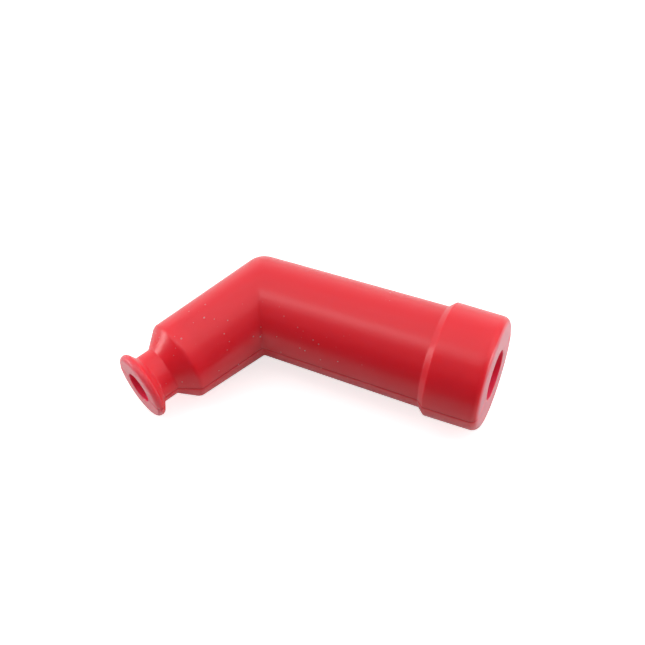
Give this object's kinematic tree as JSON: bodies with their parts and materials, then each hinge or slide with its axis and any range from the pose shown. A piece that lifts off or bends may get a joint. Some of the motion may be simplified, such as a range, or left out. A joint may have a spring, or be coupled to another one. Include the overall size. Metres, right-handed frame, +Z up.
{
  "type": "spark plug cap",
  "caption": "Angled silicone spark plug cap with a collared plug end, a slim flanged lead end and brass contact parts inside.",
  "frame": {"origin": "bottom centre of the bounding box, on the surface the cap lies on", "axes": "+X along the plug leg's direction seen from above, towards the plug end, and +Z up; the cap lies as it comes to rest, so both legs are a few degrees off level"},
  "size_m": [0.0746, 0.0434, 0.0249],
  "materials": {
    "silicone": "satin moulded silicone, bright red",
    "brass": "turned, satin",
    "spring_steel": "drawn wire"
  },
  "bodies": {
    "root": {"boot": "silicone", "terminal_block": "brass", "plug_socket": "brass", "lead_screw": "brass", "socket_clip": "spring_steel"}
  },
  "joints": []
}
